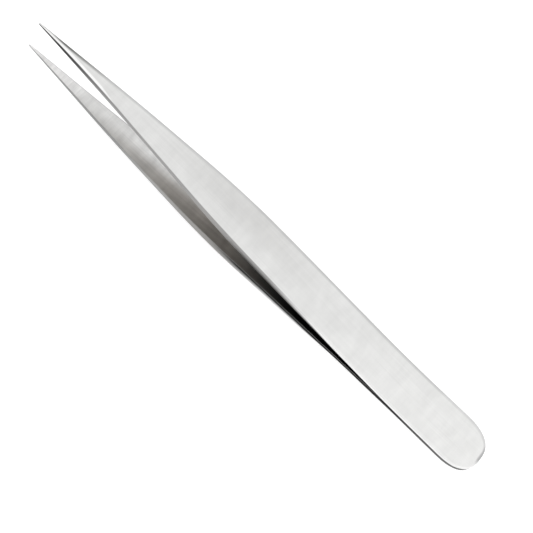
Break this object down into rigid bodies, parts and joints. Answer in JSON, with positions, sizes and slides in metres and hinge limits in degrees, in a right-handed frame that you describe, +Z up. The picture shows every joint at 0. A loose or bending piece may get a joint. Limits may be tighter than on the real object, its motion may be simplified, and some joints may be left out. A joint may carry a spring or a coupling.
{
  "type": "pointed tweezers",
  "caption": "Fine-point steel tweezers: tapering, ground arms welded face to face at a round heel, sprung open at the points.",
  "frame": {"origin": "middle of the overall box in plan, on the bench that the tweezers lie on", "axes": "+X along the tweezers towards the welded heel, +Y across the blades, +Z up out of the back of the upper arm"},
  "size_m": [0.1202, 0.0106, 0.0122],
  "materials": {
    "upper_arm": "brushed stainless steel, grain along the blade",
    "lower_arm": "brushed stainless steel, grain along the blade and ground across on the inner face"
  },
  "bodies": {
    "root": {"upper_arm": "upper_arm", "lower_arm": "lower_arm"}
  },
  "joints": []
}
